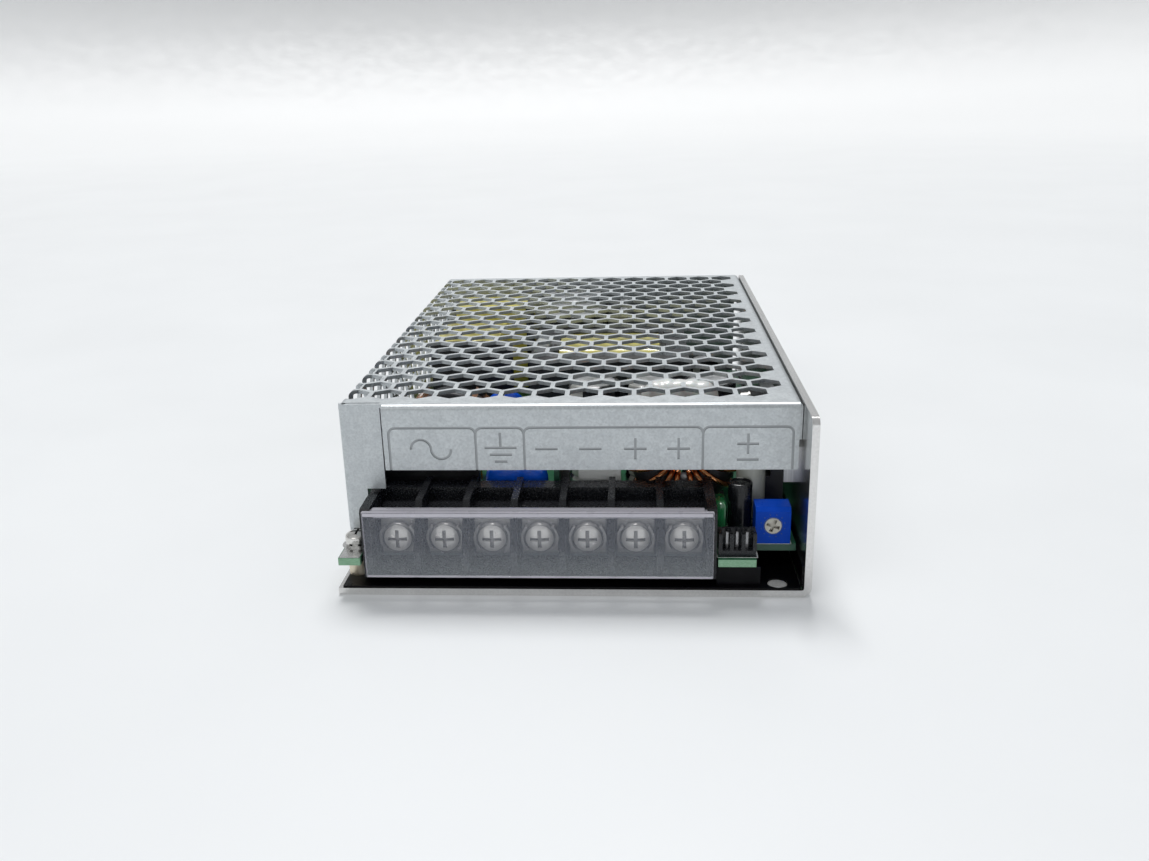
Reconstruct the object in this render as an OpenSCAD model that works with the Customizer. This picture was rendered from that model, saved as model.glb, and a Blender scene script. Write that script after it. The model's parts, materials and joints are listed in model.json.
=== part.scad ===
// Enclosed switching power supply: aluminium L chassis, perforated steel cover, seven-way terminal strip.
// Millimetres. X runs left to right, Y runs front (terminals) to back, Z is up from the mounting face.

/* [Chassis] */
// Overall width, left to right
case_w = 97; // [96:0.5:98]
// Overall length, front to back
case_l = 152; // [150:1:156]
// Overall height
case_h = 38; // [37.5:0.5:40]
// Thickness of the aluminium base and right wall
plate_t = 1.5; // [1.2:0.1:1.6]
// Outer radius of the bend between base and wall
bend_r = 2; // [1.8:0.1:2.5]
// Diameter of the plain mounting holes in the base
base_hole_d = 4; // [3.2:0.1:4.5]
// Distance of the front base hole from the front edge
base_hole_front = 2.8; // [2.6:0.1:4]
// Distance of the rear base hole from the back edge
base_hole_rear = 5; // [4.6:0.1:6]
// Core diameter of the tapped side holes, for M4
side_hole_d = 3.3; // [3.2:0.1:3.4]
// Distance between the two tapped side holes
side_hole_gap = 100; // [98:1:102]

/* [Cover] */
// Thickness of the steel cover
cover_t = 0.8; // [0.6:0.1:1]
// Outer radius of the cover's bends
cover_bend = 1.3; // [1.2:0.1:1.6]
// How far the front lip stands back from the base's front edge
lip_back = 9.6; // [9.4:0.1:10]
// Height of the front lip's lower edge
lip_low = 24; // [23.5:0.1:25]
// How far the left flange stands back from the base's front edge
flange_back = 11.3; // [11:0.1:11.6]
// Depth of the stamped lines
stamp_depth = 0.2; // [0.1:0.05:0.3]
// Width of the stamped lines
stamp_w = 0.5; // [0.4:0.05:0.8]

/* [Perforation] */
// Distance between neighbouring hole centres
hex_pitch = 7; // [6.8:0.1:7]
// Width of the metal left between two holes
hex_web = 1; // [0.8:0.1:1.4]
// Number of rows, front to back
hex_rows = 22; // [20:1:22]
// Distance from the base's front edge to the first row
hex_first = 18.3; // [18:0.1:19]

/* [Circuit board] */
// Thickness of the circuit board
board_t = 1.6; // [1.2:0.2:1.6]
// Height of the board's top face
board_top = 8; // [7.8:0.1:8.2]

/* [Terminal block] */
// Distance between terminal centres
pitch = 10; // [9.5:0.1:10]
// Thickness of the barriers between terminals
barrier_t = 1.4; // [1.2:0.1:1.6]
// Height of the barriers' top edges
block_top = 18.5; // [18:0.1:19]
// Height of the block's lower face at the front
block_low = 3.3; // [3:0.1:3.6]
// Diameter of the terminal screws
screw_d = 3; // [2.8:0.1:3.2]
// Diameter of the screw heads
head_d = 6.4; // [6:0.1:6.5]
// Height of the screw heads
head_h = 2.2; // [2:0.1:2.4]
// Thickness of the clear cover
clear_t = 1; // [0.9:0.1:1]

/* [Output choke] */
// Outer diameter over the copper winding
choke_d = 26; // [25:0.5:26]
// Diameter of the copper wire
wire_d = 1.2; // [0.9:0.1:1.2]
// Number of turns
choke_turns = 17; // [12:1:17]

/* [Hidden] */
$fn = 48;
half_w = case_w / 2;
slit = 0.7;
front = -case_l / 2;
back = case_l / 2;
wall_in = half_w - plate_t;
wall_corner = 2;
cover_right = wall_in - 0.1;
cover_in = case_h - cover_t;
lip_y = front + lip_back;
lip_x1 = cover_right - 0.7;
flange_y = front + flange_back;
flange_x1 = -39.6;
flange_low_x1 = -43.6;
flange_step_z = 19.2;
lip_x0 = flange_x1 + slit;
flange_low = 10.1;
cover_low = 1.6;
tab_y = [-34, 36];
tab_hole_z = 12;
base_hole_x = 42;
base_hole_y = [front + base_hole_front, back - base_hole_rear];
side_hole_y = [-45, -45 + side_hole_gap];
right_screw_y = [-52, 46];
right_screw_z = 33.5;
board_low = board_top - board_t;
board_left = -45.6;
board_right = 46.3;
board_back = 72;
tongue_y = front + 0.6;
left_tongue = [-48.2, -43.6];
right_tongue = [29.8, 37.4];
cutout_y = front + 11.5;
notch_y = front + 8.5;
standoffs = [[-45.7, -68.2], [-42.6, -16], [-42.6, 69], [33.5, 68.5], [42.8, 4]];
ways = 7;
block_x = -6.8;
block_w = 72.6;
block_x0 = block_x - block_w / 2;
block_x1 = block_x + block_w / 2;
end_t = 2;
block_front = front + 1.4;
face_y = front + 10;
block_back = front + 19.9;
skirt_y = cutout_y - 0.3;
floor_t = 1;
screw_z = 9.8;
contact_t = 0.8;
washer_t = 0.9;
washer_w = 7.4;
bore_gap = 0.05;
washer_y = face_y - contact_t - washer_t - bore_gap;
hinge_y = front + 2.7;
hinge_z = 17.3;
hinge_r = 0.7;
clear_w = 71;
clear_low = 3.9;
clear_top = 18.5;
header_x = 33.7;
header_y = front + 3.8;
header_w = 7.6;
header_deep = 3.8;
header_high = 5;
pin_gap = 2;
trimmer_x = 41.5;
trimmer_w = 7.2;
trimmer_deep = 5;
trimmer_high = 7.9;
rotor_z = board_top + 4;
rotor_r = 1.7;
film_at = [31.2, -59.5];
sense_at = [35.2, -61.5];
grey_at = [37.9, -56.3];
choke_at = [23.8, -49.5];
choke_z = board_top + choke_d / 2;
choke_core_r = 3.7;
choke_mean_r = choke_d / 2 - choke_core_r - wire_d - bore_gap;
varistor_at = [-13, -52.5];
card_at = [-4, -47];
resistor_at = [5.4, -51];
fuse_at = [-31.5, -51];
line_at = [-31, -30];
line_mean_r = 8.2;
disc_at = [[-21, -12], [-21, -3]];
thermistor_at = [-35.5, -7];
bridge_at = [-31, 7];
box_at = [[-33.5, 18], [-33.5, 31]];
boost_at = [-31, 55];
boost_high = 26;
bulk_at = [[-6, 39], [-6, 61]];
trafo_at = [6.5, 10];
trafo_z = 21;
trafo_core_half = 11;
sink_x = 10;
sink_y = [33, 71];
sink_high = 26;
transistor_y = [43, 61];
rectifier_y = [-50, -30, -10];
rectifier_z = board_top + 13;
spreader_t = 2;
output_at = [[3.5, -31], [17, -31], [30.5, -31]];
aux_at = [[24, 38], [34, 38], [24, 62]];
opto_at = [[33, -12], [33, -5]];

// ---- shared shapes ----

// A box between two corners.
module box(low, high) translate(low) cube(high - low);

// A drawing in X-Z, extruded along Y between y0 and y1.
module along_y(y0, y1) translate([0, y1, 0]) rotate([90, 0, 0]) linear_extrude(y1 - y0) children();

// A drawing in Y-Z, extruded along X between x0 and x1.
module along_x(x0, x1) translate([x0, 0, 0]) rotate([90, 0, 90]) linear_extrude(x1 - x0) children();

// A rod along X or Y, starting at a point.
module rod_x(at, r, len) translate(at) rotate([0, 90, 0]) cylinder(r = r, h = len);
module rod_y(at, r, len) translate(at) rotate([-90, 0, 0]) cylinder(r = r, h = len);

// A quarter ring in the first quadrant: the section of a bend.
module quarter(r, t) intersection() {
    difference() {
        circle(r);
        circle(r - t);
    }
    square(r);
}

// A rectangle with round corners, centred.
module round_rect(w, d, r) {
    square([w - 2 * r, d], center = true);
    square([w, d - 2 * r], center = true);
    for (x = [-1, 1], y = [-1, 1]) translate([x * (w / 2 - r), y * (d / 2 - r)]) circle(r);
}

// A can with a rounded top rim, standing on the board.
module can(at, r, high, rim = 0.6) translate([at[0], at[1], board_top]) rotate_extrude() {
    square([r, high - rim]);
    square([r - rim, high]);
    translate([r - rim, high - rim]) circle(rim);
    translate([0, high - rim]) square([r - rim, rim]);
}

// A flat round disc body on two legs, facing along Y.
module disc(at, r, thick, lift) {
    rod_y([at[0], at[1] - thick / 2, board_top + lift + r], r, thick);
    for (x = [-r / 2, r / 2]) translate([at[0] + x, at[1], board_top]) cylinder(r = 0.4, h = lift + r / 2);
}

// ---- metalwork ----

// A countersunk screw along X, its flat head at x = 0 and its tip at x = long.
module flat_screw(long, gap = 0) {
    rotate([0, 90, 0]) cylinder(r1 = 2.6 + gap, r2 = 1.3 + gap, h = cover_t);
    rotate([0, 90, 0]) cylinder(r = 1.2 + gap, h = long);
}

// The right wall's upper strip, with its two outer corners rounded off.
module wall_top() {
    translate([front, case_h - wall_corner]) {
        translate([wall_corner, 0]) square([case_l - 2 * wall_corner, wall_corner]);
        for (y = [wall_corner, case_l - wall_corner]) translate([y, 0]) intersection() {
            circle(wall_corner);
            translate([-wall_corner, 0]) square([2 * wall_corner, wall_corner]);
        }
    }
}

module chassis() color("#cfcdc9") difference() {
    union() {
        along_y(front, back) {
            translate([-half_w, 0]) square([case_w - bend_r, plate_t]);
            translate([wall_in, bend_r]) square([plate_t, case_h - bend_r - wall_corner]);
            translate([half_w - bend_r, bend_r]) rotate(-90) quarter(bend_r, plate_t);
        }
        along_x(wall_in, half_w) wall_top();
        for (y = tab_y) box([-half_w + cover_t, y - 6, 0], [-half_w + cover_t + plate_t, y + 6, 15.5]);
    }
    for (y = base_hole_y) translate([base_hole_x, y, -1]) cylinder(d = base_hole_d, h = plate_t + 2);
    for (y = side_hole_y) rod_x([wall_in - 1, y, case_h / 2], side_hole_d / 2, plate_t + 2);
    for (y = tab_y) rod_x([-half_w, y, tab_hole_z], 1.25, plate_t + 2);
    for (y = rectifier_y) rod_x([wall_in - 1, y, rectifier_z], 1.5, plate_t + 2);
    for (y = right_screw_y) translate([half_w, y, right_screw_z]) mirror([1, 0, 0]) flat_screw(4, bore_gap);
}

function hex_x(row, i) = (row % 2 == 0 ? 37.5 : 41) - i * hex_pitch;
function hex_y(row) = front + hex_first + row * hex_pitch * sin(60);

// A six-sided prism along Z, two of its flats facing along X.
module hex_prism(h) rotate(30) cylinder(r = (hex_pitch - hex_web) / 2 / cos(30), h = h, $fn = 6);

// The holes run across the top, over the left bend and down the left side.
module perforation() {
    bend_start = -half_w + cover_bend;
    bend_length = (cover_bend - cover_t / 2) * PI / 2;
    for (row = [0 : hex_rows - 1], i = [0 : 15]) {
        x = hex_x(row, i);
        side_z = case_h - cover_bend - (bend_start - x - bend_length);
        if (x > bend_start + 3) translate([x, hex_y(row), cover_in - 1]) hex_prism(4);
        else if (x > bend_start - 1) translate([x, hex_y(row), case_h - 2.2]) hex_prism(4);
        else if (side_z > 12) translate([-half_w - 1, hex_y(row), side_z]) rotate([0, 90, 0]) hex_prism(3);
    }
}

// A stamped outline, open at the bottom, with round top corners.
module stamped_frame(x0, x1, high) {
    w = x1 - x0;
    translate([(x0 + x1) / 2, 0]) difference() {
        round_rect(w + stamp_w, 2 * high, 1.6);
        round_rect(w - stamp_w, 2 * high - 2 * stamp_w, 1.2);
    }
}

// A stamped bar or cross, centred on a point.
module bar(x, z, w) translate([x - w / 2, z - stamp_w / 2]) square([w, stamp_w]);
module upright(x, z, h) translate([x - stamp_w / 2, z - h / 2]) square([stamp_w, h]);

// An alternating-current wave made of two half rings.
module wave(x, z, r) for (side = [0, 1]) translate([x + (side - 0.5) * 2 * r, z]) intersection() {
    difference() {
        circle(r + stamp_w / 2);
        circle(r - stamp_w / 2);
    }
    translate([-2 * r, side == 0 ? 0 : -2 * r]) square([4 * r, 2 * r]);
}

module label_stamps() translate([0, lip_y + stamp_depth, 0]) along_y(-2, 0) {
    frame_edges = [-37.7, -19.6, -9.6, 26.9, 45];
    for (i = [0 : 3]) intersection() {
        translate([0, lip_low]) stamped_frame(frame_edges[i], frame_edges[i + 1], 9.5);
        translate([-60, lip_low - 1]) square([120, 20]);
    }
    wave(-29, 28.6, 2.1);
    upright(-14.5, 30.5, 3.4);
    for (i = [0 : 2]) bar(-14.5, 28.9 - i * 1.5, 6.6 - i * 2);
    for (x = [-5, 4]) bar(x, 28.6, 4.6);
    for (x = [13.2, 22]) {
        bar(x, 28.6, 4.6);
        upright(x, 28.6, 4.6);
    }
    bar(36, 29.6, 4.4);
    upright(36, 29.6, 4.4);
    bar(36, 26.2, 4.4);
}

module cover() color("#b9bdbd") difference() {
    union() {
        difference() {
            cover_body();
            box([-half_w - 1, front, 0], [lip_x0 - slit, flange_y + cover_t + 0.15, case_h + 1]);
            box([-half_w - 1, front, 0], [-half_w + cover_t + 0.1, flange_y + cover_bend, cover_in - 0.6]);
        }
        front_lip();
        left_flange();
        rear_wall();
    }
    perforation();
    label_stamps();
    translate([-half_w + 1.2, flange_y + 0.6, case_h - 2]) cylinder(r = 0.45, h = 4);
    for (y = tab_y) translate([-half_w, y, tab_hole_z]) flat_screw(4, bore_gap);
    for (y = right_screw_y) rod_x([cover_right - 3, y, right_screw_z], 1.25, 4);
}

// Left side, top and right flange, folded from one sheet.
module cover_body() along_y(lip_y + cover_bend, back - cover_bend) {
    translate([-half_w, cover_low]) square([cover_t, case_h - cover_bend - cover_low]);
    translate([-half_w + cover_bend, case_h - cover_bend]) rotate(90) quarter(cover_bend, cover_t);
    translate([-half_w + cover_bend, cover_in]) square([half_w + cover_right - 2 * cover_bend, cover_t]);
    translate([cover_right - cover_bend, case_h - cover_bend]) quarter(cover_bend, cover_t);
    translate([cover_right - cover_t, case_h - 8]) square([cover_t, 8 - cover_bend]);
}

// The lip is folded down from the top between the left flange and the right wall.
module front_lip() along_x(lip_x0, lip_x1) {
    translate([lip_y, lip_low]) square([cover_t, case_h - cover_bend - lip_low]);
    translate([lip_y + cover_bend, case_h - cover_bend]) rotate(90) quarter(cover_bend, cover_t);
}

// The flange is folded in from the left side, across the front, and steps back beside the terminal block.
module left_flange() {
    flange_layer(flange_low, flange_step_z, flange_low_x1);
    flange_layer(flange_step_z, case_h - 0.1, flange_x1);
}

module flange_layer(z0, z1, x1) translate([0, 0, z0]) linear_extrude(z1 - z0) {
    translate([-half_w + cover_bend, flange_y]) square([x1 + half_w - cover_bend, cover_t]);
    translate([-half_w + cover_bend, flange_y + cover_bend]) rotate(180) quarter(cover_bend, cover_t);
}

module rear_wall() along_x(-half_w + cover_t + 0.2, cover_right - cover_t - 0.2) {
    translate([back - cover_t, cover_low + 0.4]) square([cover_t, case_h - cover_bend - cover_low - 0.4]);
    translate([back - cover_bend, case_h - cover_bend]) quarter(cover_bend, cover_t);
}

// Film over the base, turned up at the right wall and at the front under the right tongue.
module insulation_sheet() color("#16171a") {
    sheet_t = 0.35;
    up = plate_t + sheet_t;
    difference() {
        box([-half_w + cover_t + 0.1, front + 0.4, plate_t], [half_w - bend_r - 0.1, back - 1.5, up]);
        for (y = base_hole_y) translate([base_hole_x, y, 0]) cylinder(d = base_hole_d + 0.3, h = 4);
        for (p = standoffs) translate([p[0], p[1], 0]) cylinder(r = 2.6, h = 4);
        for (y = tab_y) box([-half_w, y - 6.3, 0], [-half_w + cover_t + plate_t + 0.3, y + 6.3, 4]);
    }
    box([wall_in - sheet_t, front + 1.5, bend_r + 0.2], [wall_in, back - 1.5, board_low - 0.2]);
    box([29.6, front + 1.6, up], [38.4, front + 1.6 + sheet_t, board_low - 0.5]);
}

module cover_screws() color("#c9c9c6") {
    for (y = tab_y) translate([-half_w, y, tab_hole_z]) slotted_flat_screw(4);
    for (y = right_screw_y) translate([half_w, y, right_screw_z]) mirror([1, 0, 0]) slotted_flat_screw(3.4);
}

module slotted_flat_screw(long) difference() {
    flat_screw(long);
    for (a = [0, 90]) rotate([a, 0, 0]) box([-1, -1.5, -0.25], [0.45, 1.5, 0.25]);
}

// ---- circuit board ----

module board_standoffs() color("#b8ab8e") for (p = standoffs) translate([p[0], p[1], plate_t]) difference() {
    cylinder(r = 2.3, h = board_low - plate_t);
    translate([0, 0, 1]) cylinder(r = 1.3, h = 9);
}

module main_board() color("#1f6b45") translate([0, 0, board_low]) linear_extrude(board_t) difference() {
    polygon([
        [left_tongue[0], tongue_y], [left_tongue[1], tongue_y], [left_tongue[1], cutout_y],
        [right_tongue[0], cutout_y], [right_tongue[0], tongue_y], [right_tongue[1], tongue_y],
        [right_tongue[1], notch_y], [board_right, notch_y], [board_right, base_hole_y[1] - 4],
        [base_hole_x - 4.4, base_hole_y[1] - 4], [base_hole_x - 4.4, board_back],
        [board_left, board_back], [board_left, flange_y - 0.4], [left_tongue[0], flange_y - 0.4]
    ]);
    for (p = standoffs) translate(p) circle(1.6);
}

module board_screws() color("#cfd0cc") for (p = standoffs) translate([p[0], p[1], board_top + 1]) {
    difference() {
        rotate_extrude() {
            square([2.6, 0.9]);
            translate([0, 0.9]) intersection() {
                scale([2.6, 1.1]) circle(1);
                square(3);
            }
        }
        for (a = [0, 90]) rotate(a) box([-1.5, -0.25, 1], [1.5, 0.25, 3]);
    }
    translate([0, 0, -4]) cylinder(r = 1.25, h = 4.2);
}

// A plain washer with a toothed one on top of it under each board screw.
module board_screw_washers() color("#b9bab8") for (p = standoffs) translate([p[0], p[1], board_top]) {
    difference() {
        union() {
            cylinder(r = 2.45, h = 0.45);
            for (i = [0 : 7]) rotate(i * 45) box([1.4, -0.6, 0.45], [2.5, 0.6, 0.95]);
            translate([0, 0, 0.45]) cylinder(r = 1.9, h = 0.5);
        }
        translate([0, 0, -1]) cylinder(r = 1.35, h = 3);
    }
}

// ---- terminal strip ----

function way_x(i) = block_x + (i - (ways - 1) / 2) * pitch;

// Side view of a barrier: full height at the back, sloping to the front below the head's level.
module barrier_side() polygon([
    [block_back, board_top], [skirt_y, board_top], [skirt_y, block_low], [block_front, block_low],
    [block_front, 9], [front + 7, block_top], [block_back, block_top]
]);

// Side view of an end wall: full height, its top front corner cut off for the hinged cover.
module end_side() polygon([
    [block_back, board_top], [skirt_y, board_top], [skirt_y, block_low], [block_front, block_low],
    [block_front, block_top - 0.7], [block_front + 0.7, block_top], [block_back, block_top]
]);

module terminal_block() color("#17181a") difference() {
    union() {
        along_x(block_x0, block_x1) polygon([
            [block_back, board_top], [skirt_y, board_top], [skirt_y, block_low], [block_front, block_low],
            [block_front, block_low + floor_t], [face_y, block_low + floor_t], [face_y, 15],
            [block_back - 4, 15], [block_back - 4, block_top - 0.9], [block_back, block_top - 0.9]
        ]);
        for (i = [0 : ways]) along_x(way_x(i - 0.5) - barrier_t / 2, way_x(i - 0.5) + barrier_t / 2)
            barrier_side();
        along_x(block_x0, block_x0 + end_t) end_side();
        along_x(block_x1 - end_t, block_x1) end_side();
    }
    for (i = [0 : ways - 1])
        rod_y([way_x(i), face_y - 1, screw_z], screw_d / 2 + bore_gap, 8);
    rod_x([block_x0 + end_t - 1.5, hinge_y, hinge_z], hinge_r + bore_gap, 2);
    rod_x([block_x1 - end_t - 0.5, hinge_y, hinge_z], hinge_r + bore_gap, 2);
}

module terminal_contacts() color("#c8c2b0") for (i = [0 : ways - 1]) difference() {
    box([way_x(i) - 3.9, face_y - contact_t, 5.2], [way_x(i) + 3.9, face_y, 14.4]);
    rod_y([way_x(i), face_y - 2, screw_z], screw_d / 2 + bore_gap, 4);
}

// Clear plate with a short return along its top edge and a hinge pin at each end.
module terminal_cover() color("#c4c9d0", 0.4) {
    return_x0 = block_x0 + end_t + 0.3;
    return_x1 = block_x1 - end_t - 0.3;
    box([block_x - clear_w / 2, front, clear_low], [block_x + clear_w / 2, front + clear_t, clear_top]);
    box([return_x0, front + clear_t, clear_top - 1.1], [return_x1, hinge_y, clear_top]);
    rod_x([return_x0, hinge_y, hinge_z], 1.1, return_x1 - return_x0);
    rod_x([return_x0 - 1.6, hinge_y, hinge_z], hinge_r, 2);
    rod_x([return_x1 - 0.4, hinge_y, hinge_z], hinge_r, 2);
}

// Domed head with a cross slot, its shank running back into the block.
module terminal_screw(i) color("#d3d2cd")
    translate([way_x(i), washer_y - bore_gap, screw_z]) rotate([90, 0, 0]) {
    difference() {
        rotate_extrude() {
            square([head_d / 2, head_h * 0.45]);
            translate([0, head_h * 0.45]) intersection() {
                scale([head_d / 2, head_h * 0.55]) circle(1);
                square(head_d);
            }
        }
        for (a = [0, 90]) rotate(a) box([-2, -0.4, head_h - 1.1], [2, 0.4, head_h + 1]);
    }
    translate([0, 0, -7]) cylinder(r = screw_d / 2, h = 7.2);
}

// Square captive washer with a curved wing each side of the screw head.
module terminal_washer(i) color("#c9c8c3") translate([way_x(i), washer_y, screw_z]) difference() {
    union() {
        box([-washer_w / 2, 0, -washer_w / 2], [washer_w / 2, washer_t, washer_w / 2]);
        intersection() {
            rod_y([0, -1.5, 0], 3.95, 2);
            for (side = [-1, 1]) translate([side * 4, 0, 0]) cube([3, 8, 5.2], center = true);
        }
    }
    rod_y([0, -3, 0], 3.45, 3);
    rod_y([0, -1, 0], screw_d / 2 + bore_gap, 4);
}

// ---- front controls ----

// One square pin of the header, standing on the board.
module header_pin(i, high) translate([header_x + i * pin_gap - 0.25, header_y - 0.25, board_top])
    cube([0.5, 0.5, high]);

module header_housing() color("#1a1b1d") difference() {
    low = [header_x - header_w / 2, header_y - header_deep / 2, board_top];
    high = [header_x + header_w / 2, header_y + header_deep / 2, board_top + header_high];
    box(low, high);
    box(low + [0.7, 0.7, 1.4], high + [-0.7, -0.7, 1]);
    for (x = [-2.3, 0, 2.3])
        translate([header_x + x - 0.75, low[1] - 1, low[2] + 1.4]) cube([1.5, 2, header_high]);
    for (i = [-1 : 1]) header_pin(i, header_high);
}

module header_pins() color("#d6d2c4") for (i = [-1 : 1]) header_pin(i, header_high - 0.3);

// Box with its upper front edge cut back, bored for the rotor.
module trimmer_body() color("#1a55c8") difference() {
    along_x(trimmer_x - trimmer_w / 2, trimmer_x + trimmer_w / 2) polygon([
        [notch_y, board_top], [notch_y, board_top + trimmer_high - 0.8],
        [notch_y + 0.8, board_top + trimmer_high], [notch_y + trimmer_deep, board_top + trimmer_high],
        [notch_y + trimmer_deep, board_top]
    ]);
    rod_y([trimmer_x, notch_y - 1, rotor_z], rotor_r + bore_gap, 3);
}

module trimmer_rotor() color("#e6e3d8") difference() {
    rod_y([trimmer_x, notch_y - 0.2, rotor_z], rotor_r, 2.15);
    for (a = [0, 90]) translate([trimmer_x, notch_y, rotor_z]) rotate([0, a + 20, 0])
        cube([2.8, 1.2, 0.75], center = true);
}

module sense_capacitor() color("#1b1c20") can(sense_at, 2.5, 11.5, 0.4);

// A block standing on the board, centred on a point.
module block(at, size) translate([at[0] - size[0] / 2, at[1] - size[1] / 2, board_top]) cube(size);

module film_capacitor() color("#2f7d46") block(film_at, [2.5, 6.4, 7]);

module control_card() color("#23734a") block(card_at, [1.2, 16, 20]);

module card_chips() color("#1d1e20") for (z = [4, 12])
    translate([card_at[0] + 0.6, card_at[1] - 5, board_top + z]) cube([1.6, 10, 4]);

// ---- input side ----

module varistor() color("#1c4fb5") disc(varistor_at, 7, 4.4, 1.5);

module load_resistor() color("#e4e3dc") block(resistor_at, [9.2, 7.2, 14.5]);

module fuse_tube() color("#e6e2d6") rod_x([fuse_at[0] - 8, fuse_at[1], board_top + 5], 2.4, 16);

// Metal end caps on the tube, each held in a spring clip.
module fuse_clips() color("#c7c3b6") for (side = [0, 1])
    translate([fuse_at[0], fuse_at[1], 0]) mirror([side, 0, 0]) difference() {
        union() {
            rod_x([5, 0, board_top + 5], 2.65, 5.2);
            box([5.6, -2.9, board_top], [9.4, 2.9, board_top + 5]);
        }
        rod_x([4, 0, board_top + 5], 2.45, 4.1);
    }

module line_choke_core() color("#2b2d2f") translate([line_at[0], line_at[1], board_top + 12.5])
    rotate([90, 0, 0]) rotate_extrude() translate([line_mean_r, 0]) round_rect(4.2, 7, 0.8);

// Two windings, one on each side of the ring, with a gap at the top and the bottom.
module line_choke_windings() color("#b5652a") translate([line_at[0], line_at[1], board_top]) {
    for (x = [-6.3, 6.3]) translate([x, 0, 0]) cylinder(r = 0.5, h = 3.4);
    translate([0, 0, 12.5]) rotate([90, 0, 0])
        for (side = [0, 180], a = [-56 : 14 : 56]) rotate(side + a) line_turn();
}

// One flat turn around the ring's section.
module line_turn() translate([line_mean_r, 0, 0]) rotate([90, 0, 0]) translate([0, 0, -0.55])
    linear_extrude(1.1) difference() {
        round_rect(6.8, 9.6, 1.6);
        round_rect(4.3, 7.1, 0.8);
    }

module disc_capacitors() color("#2456b8") for (p = disc_at) disc(p, 6, 4, 2.5);

module inrush_thermistor() color("#2a3a33") disc(thermistor_at, 7, 5, 2);

module bridge_rectifier() color("#1e1f21") translate([bridge_at[0], bridge_at[1], board_top]) {
    box([-11, -1.8, 3], [11, 1.8, 25]);
    for (i = [0 : 3]) translate([i * 5 - 7.5, 0, 0]) cylinder(r = 0.6, h = 4);
}

module box_capacitors() color("#d8b23a") for (p = box_at) block(p, [18, 9, 24]);

// Two flat cheeks joined by two side legs around the upright winding.
module boost_choke_core() color("#34363a") translate([boost_at[0], boost_at[1], board_top]) {
    for (z = [0, boost_high - 4.5]) box([-12, -7, z], [12, 7, z + 4.5]);
    for (x = [-12, 8.6]) box([x, -7, 4.5], [x + 3.4, 7, boost_high - 4.5]);
}

module boost_choke_winding() color("#e0c23c") translate([boost_at[0], boost_at[1], board_top + 4.5])
    cylinder(r = 8.4, h = boost_high - 9);

module bulk_capacitors() color("#23262c") for (p = bulk_at) can(p, 10.8, 27, 1);

// ---- transformer ----

// Two E halves meeting in the middle: end bars along Y, outer legs along X, round centre leg.
module transformer_core() color("#2e3033") translate([trafo_at[0], trafo_at[1], trafo_z]) {
    for (x = [-20.5, 15]) box([x, -17.5, -trafo_core_half], [x + 5.5, 17.5, trafo_core_half]);
    for (y = [-17.5, 13.2]) box([-15, y, -trafo_core_half], [15, y + 4.3, trafo_core_half]);
    rod_x([-15, 0, 0], 5.6, 30);
}

module transformer_bobbin() color("#2a2a2c") translate([trafo_at[0], trafo_at[1], trafo_z]) difference() {
    union() {
        for (x = [-14.6, 13.4]) along_x(x, x + 1.2) round_rect(25.6, 25, 2);
        rod_x([-14, 0, 0], 6.8, 28);
        for (x = [-17, 13.4]) box([x, -12, board_top - trafo_z], [x + 3.6, 12, -trafo_core_half]);
    }
    rod_x([-20, 0, 0], 5.7, 40);
}

module transformer_winding() color("#e3c63f") translate([trafo_at[0], trafo_at[1], trafo_z]) difference() {
    along_x(-13.3, 13.3) round_rect(24.4, 24.4, 6);
    rod_x([-20, 0, 0], 6.8, 40);
}

// ---- power parts ----

module heat_sink() color("#b4b6b8") {
    box([sink_x - 1, sink_y[0], board_top], [sink_x + 1, sink_y[1], board_top + sink_high]);
    for (i = [0 : 6]) translate([sink_x - 3.4, sink_y[0] + 0.8 + i * 6, board_top + 6])
        cube([2.4, 1.2, sink_high - 6]);
}

// A flat package standing on three legs, its front face towards -X, centred on Y.
module package() difference() {
    union() {
        box([-4, -5, 1], [0, 5, 10]);
        box([-2.7, -5, 10], [0, 5, 16]);
        for (y = [-2.5, 0, 2.5]) box([-2.4, y - 0.35, 0], [-1.7, y + 0.35, 1.5]);
    }
    rod_x([-5, 0, rectifier_z - board_top], 1.6, 6);
}

module power_transistors() color("#1c1d1f") for (y = transistor_y)
    translate([sink_x + 1, y, board_top]) mirror([1, 0, 0]) package();

module output_rectifiers() color("#1c1d1f") for (y = rectifier_y)
    translate([wall_in - spreader_t, y, board_top]) package();

// An aluminium block behind the tab of each rectifier, carrying its heat to the wall.
module rectifier_spreaders() color("#c9ccd0") for (y = rectifier_y) difference() {
    box([wall_in - spreader_t, y - 5.6, board_top + 9], [wall_in, y + 5.6, board_top + 17]);
    rod_x([wall_in - spreader_t - 1, y, rectifier_z], 1.6, spreader_t + 2);
}

module rectifier_screws() color("#cdcdc9") for (y = rectifier_y) {
    tab_face = wall_in - spreader_t - 2.7;
    rod_x([tab_face - 2.3, y, rectifier_z], 2.6, 1.8);
    rod_x([tab_face - 0.5, y, rectifier_z], 2.9, 0.5);
    rod_x([tab_face - 0.4, y, rectifier_z], 1.45, 3.1 + spreader_t + plate_t);
}

module output_choke_core() color("#1f2123") translate([choke_at[0], choke_at[1], choke_z])
    rotate([90, 0, 0]) rotate_extrude() translate([choke_mean_r, 0]) circle(choke_core_r);

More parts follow.
